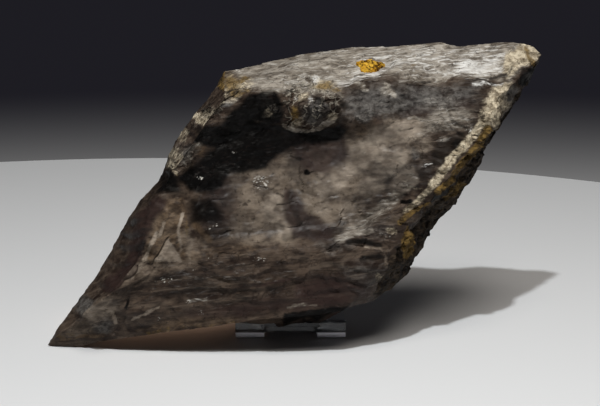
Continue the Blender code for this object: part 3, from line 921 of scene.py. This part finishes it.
def groundColour(tree, textures):
    # smoky ground, mottled and streaked, with its neutral grey skin
    streak = textures["streak"]
    colour = twoTone(tree, textures["mottled"], 0.40, 0.62, gypsum["ground"])
    colour = overlay(tree, colour, streak, 0.50, 0.70, 0.55, gypsum["paleStreak"])
    colour = overlay(tree, colour, streak, 0.46, 0.32, 0.65, gypsum["darkStreak"])
    steel = twoTone(tree, textures["crumbled"], 0.38, 0.62, gypsum["steel"])
    steel = overlay(tree, steel, streak, 0.56, 0.72, 0.5, gypsum["steelStreak"])
    return layer(tree, colour, "steel", textures["mottle"], 0.9, 0.85, steel)


def glassColour(tree, textures, colour):
    # the glassy window with its stains and pale clouds, and the dark smoke and painted shade
    # round it
    mottle, mottled = textures["mottle"], textures["mottled"]
    veil = twoTone(tree, mottled, 0.34, 0.66, gypsum["veil"])
    veil = overlay(tree, veil, textures["grain"], 0.44, 0.32, 0.75, gypsum["veilFleck"])
    colour = layer(tree, colour, "veil", mottle, 0.6, 0.92, veil)
    honey = twoTone(tree, mottle, 0.38, 0.62, gypsum["honey"])
    colour = layer(tree, colour, "honey", mottled, 0.7, 0.62, honey)
    pale = twoTone(tree, mottled, 0.36, 0.64, gypsum["pale"])
    colour = layer(tree, colour, "pale", mottled, 1.0, 0.9, pale)
    colour = layer(tree, colour, "plum", mottle, 0.9, 0.85, gypsum["plum"])
    smokeAndShade = twoTone(tree, mottle, 0.52, 0.72, gypsum["smokeAndShade"])
    return layer(tree, colour, "smokeAndShade", mottled, 0.9, 0.98, smokeAndShade)


def skinColour(tree, textures, colour):
    # broken brown side with painted shade, silvery weathering with painted highlights, crumpled
    # ridges with painted highlights on their folds, cream crumbs, ochre stains, and dark cracks
    # with painted shade
    crumbled, dash = textures["crumbled"], textures["dash"]
    earthAndShade = twoTone(tree, crumbled, 0.42, 0.62, gypsum["earthAndShade"])
    colour = layer(tree, colour, "earthAndShade", crumbled, 1.2, 0.96, earthAndShade)
    frostAndHighlight = twoTone(tree, textures["mottled"], 0.38, 0.62, gypsum["frostAndHighlight"])
    frostAndHighlight = overlay(tree, frostAndHighlight, dash, 0.50, 0.66, 0.75, gypsum["frostDash"])
    frostAndHighlight = overlay(tree, frostAndHighlight, dash, 0.47, 0.34, 0.8, gypsum["frostGap"])
    frostAndHighlight = overlay(tree, frostAndHighlight, textures["fibre"], 0.44, 0.34, 0.5, gypsum["frostFibre"])
    colour = layer(tree, colour, "frostAndHighlight", dash, 1.1, 0.92, frostAndHighlight)
    colour = layer(tree, colour, "snowAndHighlight", dash, 2.4, 0.9, gypsum["snowAndHighlight"])
    # painted highlights on the crests of the crumpled folds
    colour = overlay(tree, colour, textures["ridges"], 0.3, 1.1, 0.6, gypsum["ridgeHighlight"])
    cream = twoTone(tree, crumbled, 0.37, 0.63, gypsum["cream"])
    cream = mixColours(tree, maths(tree, "MULTIPLY", textures["cracks"], 0.35), cream,
                       gypsum["creamCrack"])
    colour = layer(tree, colour, "cream", crumbled, 1.6, 0.96, cream)
    rust = twoTone(tree, crumbled, 0.38, 0.62, gypsum["rust"])
    colour = layer(tree, colour, "rust", textures["grain"], 0.9, 0.85, rust)
    return layer(tree, colour, "cracksAndShade", crumbled, 0.9, 0.9, gypsum["cracksAndShade"])


def gypsumRelief(tree, textures, dull, calm):
    # height of the finest relief, in mm
    rough = maths(tree, "MULTIPLY_ADD", dull, 0.55, maths(tree, "MULTIPLY", calm, 0.10))
    height = maths(tree, "MULTIPLY", textures["facets"], rough)
    shares = {"crumbled": maths(tree, "MULTIPLY_ADD", dull, 0.9, 0.2),
              "streak": maths(tree, "MULTIPLY", calm, 0.2),
              "fibre": maths(tree, "MULTIPLY", calm, 0.06), "ridges": 0.5}
    for name, share in shares.items():
        height = maths(tree, "MULTIPLY_ADD", textures[name], share, height)
    return height


def gypsumMaterial():
    material, tree, shader = blankMaterial("smokyGypsum")
    textures = gypsumTextures(tree)
    colour = glassColour(tree, textures, groundColour(tree, textures))
    colour = skinColour(tree, textures, colour)

    # fine dark lines, faint in the window, and painted glints: tiny bright specks, most where the
    # glint marks lie
    calm = maths(tree, "MULTIPLY_ADD", attribute(tree, "veil"), -0.8, 1.0)
    darkLines = maths(tree, "MULTIPLY", textures["darkLines"],
                      maths(tree, "MULTIPLY", calm, 0.6))
    colour = mixColours(tree, darkLines, colour, gypsum["darkLine"])
    sparkle = maths(tree, "MULTIPLY_ADD", attribute(tree, "glint"), 0.6, textures["sparkle"])
    colour = overlay(tree, colour, sparkle, 1.0, 1.45, 0.85, gypsum["glint"])

    dull = attribute(tree, "cream")
    for name in ("rust", "curl", "earthAndShade"):
        dull = maths(tree, "MAXIMUM", dull, attribute(tree, name))
    roughness = maths(tree, "MULTIPLY_ADD", dull, 0.35,
                      ramp(tree, textures["grain"], 0.3, 0.7, 0.40, 0.56))
    clear = maths(tree, "MULTIPLY", attribute(tree, "clear"),
                  ramp(tree, textures["cloud"], 0.62, 0.4, *gypsum["clearShares"]))
    clear = maths(tree, "MULTIPLY", clear,
                  maths(tree, "MULTIPLY_ADD", attribute(tree, "smokeAndShade"), -0.95, 1.0))
    relief = gypsumRelief(tree, textures, dull, calm)
    setInputs(tree, shader, {"Base Color": colour, "Roughness": roughness,
                             "Transmission Weight": clear, "IOR": gypsum["ior"],
                             "Specular IOR Level": gypsum["specular"],
                             "Normal": bump(tree, relief, mm)})
    return material


crust = {
    "centre": (34.3, 138.0, 14.4),
    "normal": (0.02, 0.804, 0.594),
    "radii": (6.6, 5.4),
    "lobes": [(3.0, 0.6, 0.14), (5.0, 0.0, 0.08)],       # of its edge: count, turn, reach
    "ragged": (6.0, 0.10),                               # of its edge: fineness, reach
    "crumbs": [(2.6, 0.7), (7.0, 0.45), (16.0, 0.3)],    # fineness and share of the height
    "lowest": 0.2,                   # the height never falls under this share
    "sunk": 0.5,                     # its foot lies this far down
    "height": 2.2,
    "ochre": ((0.30, 0.135, 0.006), (0.60, 0.36, 0.045)),
    "hollowShade": (0.035, 0.013, 0.002),
    "specular": 0.15,
    "grainHeight": 1.2,
    "seat": (9.0, 13.0),             # the blade is flat to here, and free from here
}


def crustAxes():
    out = Vector(crust["normal"]).normalized()
    up = (Vector((0.0, 0.0, -1.0)) + out * out.z).normalized()
    return Vector(crust["centre"]), up.cross(out), up, out


def ochreMaterial():
    material, tree, shader = blankMaterial("ochreCrust")
    coords = addNode(tree, "ShaderNodeTexCoord").outputs["Object"]
    grain = noiseNode(tree, coords, 360.0, 5.0, 0.68)
    blotch = noiseNode(tree, coords, 240.0, 4.0, 0.6)
    colour = twoTone(tree, blotch, 0.40, 0.62, crust["ochre"])
    # painted shade: darker where the grain's bump is low
    colour = overlay(tree, colour, grain, 0.53, 0.44, 0.95, crust["hollowShade"])
    setInputs(tree, shader, {"Base Color": colour,
                             "Roughness": ramp(tree, grain, 0.3, 0.7, 0.95, 0.7),
                             "Specular IOR Level": crust["specular"],
                             "Normal": bump(tree, grain, crust["grainHeight"] * mm)})
    return material


def crustSpot(place, axes):
    # a place on the unit ball becomes one on the crust, in the leaning plane
    centre, alongSlope, upSlope, out = axes
    x, y, z = place
    turn = math.atan2(y, x)
    edge = 1.0 + sum(reach * math.sin(count * turn + start)
                     for count, start, reach in crust["lobes"])
    fineness, reach = crust["ragged"]
    edge *= 1.0 + reach * noise.noise(Vector((x, y, 3.0)) * fineness)
    flat = Vector((x, y, 0.0))
    crumb = 1.0 + sum(share * noise.noise(flat * fineness)
                      for fineness, share in crust["crumbs"])
    height = placing["gap"] - crust["sunk"]
    height += max(z, 0.0) * crust["height"] * max(crumb, crust["lowest"])
    radiusAlong, radiusUp = crust["radii"]
    spot = centre + alongSlope * (x * edge * radiusAlong)
    return spot + upSlope * (y * edge * radiusUp) + out * height


def makeCrust(material):
    axes = crustAxes()
    bm = bmesh.new()
    bmesh.ops.create_icosphere(bm, subdivisions=6, radius=1.0)
    for vert in bm.verts:
        vert.co = Vector(toTable(*crustSpot(vert.co, axes))) * mm
    bmesh.ops.recalc_face_normals(bm, faces=bm.faces[:])
    piece = addPiece("ochreCrust", bm, material)
    piece.data.shade_smooth()
    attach(piece, "root")
    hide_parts("ochre_crust")
    print("crust:", len(piece.data.polygons), "faces")


stand = {
    "sheet": 2.7,                    # thickness
    "width": 55.5,
    "middle": -4.75,
    "lipFront": 7.0,
    "lipHeight": 10.3,
    "backHeight": 60.0,
    "bendRadius": 4.0,
    "bendSteps": 10,
    "notchWidth": 26.5,
    "notchDepth": 15.0,
    "notchRound": 6.0,
    "backRound": 9.0,
    "edgeRound": 0.35,
    "sawnTop": 4.0,
    "clearTint": (0.93, 0.95, 0.97),
    "sawnTint": (0.95, 0.94, 1.0),
    "ior": 1.49,
    "margin": 6.0,                   # the blade is flat this far round what holds it
}


def clearMaterial():
    material, tree, shader = blankMaterial("clearSheet")
    coords = addNode(tree, "ShaderNodeTexCoord").outputs["Object"]
    scuffs = noiseNode(tree, coords, 260.0, 6.0, 0.7)
    # the sheet's front ends are sawn matt, low down
    parts = addNode(tree, "ShaderNodeSeparateXYZ", {0: coords})
    front = (stand["lipFront"] - placing["middle"][1]) * mm
    top = stand["sawnTop"] * mm
    sawn = maths(tree, "MULTIPLY", ramp(tree, parts.outputs["Z"], top + 0.4 * mm, top),
                 ramp(tree, parts.outputs["Y"], front + 3 * mm, front + 2 * mm))
    roughness = maths(tree, "MULTIPLY_ADD", sawn, 0.4,
                      ramp(tree, scuffs, 0.5, 0.75, 0.005, 0.06))
    tint = mixColours(tree, sawn, stand["clearTint"], stand["sawnTint"])
    clear = maths(tree, "MULTIPLY_ADD", sawn, -1.0, 1.0)
    setInputs(tree, shader, {"Base Color": tint, "Roughness": roughness,
                             "Transmission Weight": clear, "IOR": stand["ior"]})
    return material


def bendPoints(middle, start, end):
    turns = np.linspace(start, end, stand["bendSteps"] + 1)
    return [(middle[0] + stand["bendRadius"] * math.cos(turn),
             middle[1] + stand["bendRadius"] * math.sin(turn)) for turn in turns]


def standLine():
    # the middle of the sheet from the lips' tops to the top of the back: y and z in mm
    lean, half, radius = placing["lean"], stand["sheet"] / 2, stand["bendRadius"]
    lipY = stand["lipFront"] + half
    line = [(lipY, stand["lipHeight"])]
    line += bendPoints((lipY + radius, half + radius), math.pi, 1.5 * math.pi)
    arcW = -blade["level"] - placing["gap"] - half + radius
    arcQ = (half + radius - arcW * math.sin(lean)) / math.cos(lean)
    middle = (arcQ * math.sin(lean) - arcW * math.cos(lean), half + radius)
    line += bendPoints(middle, -0.5 * math.pi, -lean)
    rise = stand["backHeight"] - radius
    line.append((line[-1][0] + rise * math.sin(lean), line[-1][1] + rise * math.cos(lean)))
    return line


def splitAt(bm, place, normal):
    bmesh.ops.bisect_plane(bm, geom=bm.verts[:] + bm.edges[:] + bm.faces[:], plane_co=place,
                           plane_no=normal, dist=1e-5)


def roundCorners(bm, isCorner, radius):
    corners = [vert for vert in bm.verts if isCorner(vert.co)]
    bmesh.ops.bevel(bm, geom=corners, offset=radius, segments=8, affect="VERTICES",
                    profile=0.5, material=-1)


def flatSheet(length, deep):
    # the sheet before it is bent, with its notch and round corners
    notch = stand["notchWidth"] / 2
    bm = bmesh.new()
    bmesh.ops.create_grid(bm, x_segments=1, y_segments=1, size=0.5)
    for vert in bm.verts:
        vert.co = Vector((vert.co.x * stand["width"], (vert.co.y + 0.5) * length, 0.0))
    for side in (-notch, notch):
        splitAt(bm, (side, 0, 0), (1, 0, 0))
    splitAt(bm, (0, deep, 0), (0, 1, 0))
    hole = [face for face in bm.faces if abs(face.calc_center_median().x) < notch
            and face.calc_center_median().y < deep]
    bmesh.ops.delete(bm, geom=hole, context="FACES")
    bmesh.ops.dissolve_limit(bm, angle_limit=0.01, verts=bm.verts[:], edges=bm.edges[:])
    roundCorners(bm, lambda at: abs(at.y - deep) < 0.1 and abs(at.x) < notch + 0.1,
                 stand["notchRound"])
    roundCorners(bm, lambda at: at.y > length - 0.1, stand["backRound"])
    return bm


def makeStand(material):
    # a flat sheet bent along its length, thickened and edge-polished
    line = np.array(standLine())
    reach = np.concatenate([[0.0], np.cumsum(np.linalg.norm(np.diff(line, axis=0), axis=1))])
    # the lips bend up, so the notch is this deep along the sheet
    lipTop = reach[1] + stand["bendRadius"] * math.pi / 2 - stand["bendRadius"]
    bm = flatSheet(reach[-1], lipTop + stand["notchDepth"] - stand["sheet"] / 2)
    for stop in reach[1:-1]:
        splitAt(bm, (0, stop, 0), (0, 1, 0))
    for vert in bm.verts:
        y = np.interp(vert.co.y, reach, line[:, 0])
        z = np.interp(vert.co.y, reach, line[:, 1])
        vert.co = Vector((vert.co.x + stand["middle"] - placing["middle"][0],
                          y - placing["middle"][1], z)) * mm
    bmesh.ops.recalc_face_normals(bm, faces=bm.faces[:])
    piece = addPiece("clearStand", bm, material)
    wall = piece.modifiers.new("sheet", "SOLIDIFY")
    wall.thickness = stand["sheet"] * mm
    wall.offset = 0.0
    wall.use_even_offset = True
    polish = piece.modifiers.new("polish", "BEVEL")
    polish.width = stand["edgeRound"] * mm
    polish.segments = 2
    polish.limit_method = "ANGLE"
    polish.angle_limit = math.radians(50)
    piece.data.shade_smooth()
    piece.data.set_sharp_from_angle(angle=math.radians(40))
    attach(piece, "root")
    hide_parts("stand")
    print("stand:", len(piece.data.polygons), "faces before its thickness")


studio = {
    "cameraDistance": 833.0,
    "cameraAim": (0.0, 17.18, 68.89),
    "elevation": math.radians(14.0),
    "lens": 100.0,
    "floorRadius": 0.62,
    "floorMiddle": (-0.09, -0.206),
    "floorColour": (0.62, 0.62, 0.62),
    "floorRoughness": 0.6,
    # the backdrop brightens from the first height down to the second
    "backdropFade": (-0.174, -0.230),
    "backdropCurve": 1.7,
    "backdropDark": (0.0125, 0.012, 0.016),
    "backdropBright": (0.185, 0.183, 0.182),
    "backdropTop": (0.032, 0.032, 0.034),
    # place, aim, size, power and colour of each lamp
    "lamps": {
        "soft": ((0.16, -0.46, 0.99), (0.0, 0.0, 0.07), (0.34, 0.50), 6.5,
                 (1.0, 0.95, 0.89)),
        "small": ((-0.035, -0.515, 0.96), (0.0, 0.0, 0.07), (0.03, 0.03), 9.7,
                  (0.93, 0.97, 1.0)),
        # the little warm light that comes through the blade onto the table
        "through": ((-0.072, 0.020, 0.012), (-0.072, 0.020, 0.0), (0.08, 0.03), 0.004,
                    (1.0, 0.60, 0.38)),
    },
}


def makeFloor():
    material, tree, shader = blankMaterial("paleFloor")
    setInputs(tree, shader, {"Base Color": (*studio["floorColour"], 1.0),
                             "Roughness": studio["floorRoughness"]})
    bm = bmesh.new()
    bmesh.ops.create_circle(bm, cap_ends=True, segments=256, radius=studio["floorRadius"])
    bmesh.ops.translate(bm, verts=bm.verts, vec=(*studio["floorMiddle"], 0.0))
    addPiece("floor", bm, material)


def makeBackdrop():
    world = bpy.data.worlds.new("studioWorld")
    bpy.context.scene.world = world
    world.use_nodes = True
    tree = world.node_tree
    coords = addNode(tree, "ShaderNodeTexCoord").outputs["Generated"]
    height = addNode(tree, "ShaderNodeSeparateXYZ", {0: coords}).outputs["Z"]
    start, full = studio["backdropFade"]
    glow = addNode(tree, "ShaderNodeMapRange", {"Value": height, "From Min": start,
                   "From Max": full}).outputs["Result"]
    colour = mixColours(tree, maths(tree, "POWER", glow, studio["backdropCurve"]),
                        studio["backdropDark"], studio["backdropBright"])
    colour = mixColours(tree, ramp(tree, height, 0.1, 0.5), colour, studio["backdropTop"])
    tree.links.new(colour, tree.nodes["Background"].inputs["Color"])
    print("stage ready")


def makeLights():
    for name, (place, aim, size, power, colour) in studio["lamps"].items():
        light = bpy.data.lights.new(name, "AREA")
        light.shape = "RECTANGLE"
        light.size, light.size_y = size
        light.energy = power
        light.color = colour
        lamp = bpy.data.objects.new(name, light)
        lamp.location = place
        turn = (Vector(aim) - Vector(place)).to_track_quat("-Z", "Y")
        lamp.rotation_euler = turn.to_euler()
        lamp.visible_glossy = name != "small"
        bpy.context.scene.collection.objects.link(lamp)
    print("lights ready")


def makeCamera():
    x, y, z = studio["cameraAim"]
    aim = Vector((x - placing["middle"][0], y - placing["middle"][1], z)) * mm
    rise = studio["elevation"]
    back = Vector((0.0, -math.cos(rise), math.sin(rise))) * studio["cameraDistance"] * mm
    data = bpy.data.cameras.new("camera")
    data.lens = studio["lens"]
    data.sensor_width = 36.0
    camera = bpy.data.objects.new("camera", data)
    camera.location = aim + back
    camera.rotation_euler = (math.pi / 2 - rise, 0.0, 0.0)
    bpy.context.scene.collection.objects.link(camera)
    bpy.context.scene.camera = camera
    print("camera ready")


makeBlade(gypsumMaterial())
makeCrust(ochreMaterial())
makeStand(clearMaterial())
makeFloor()
makeBackdrop()
makeLights()
makeCamera()
bpy.context.scene.view_settings.view_transform = "Standard"
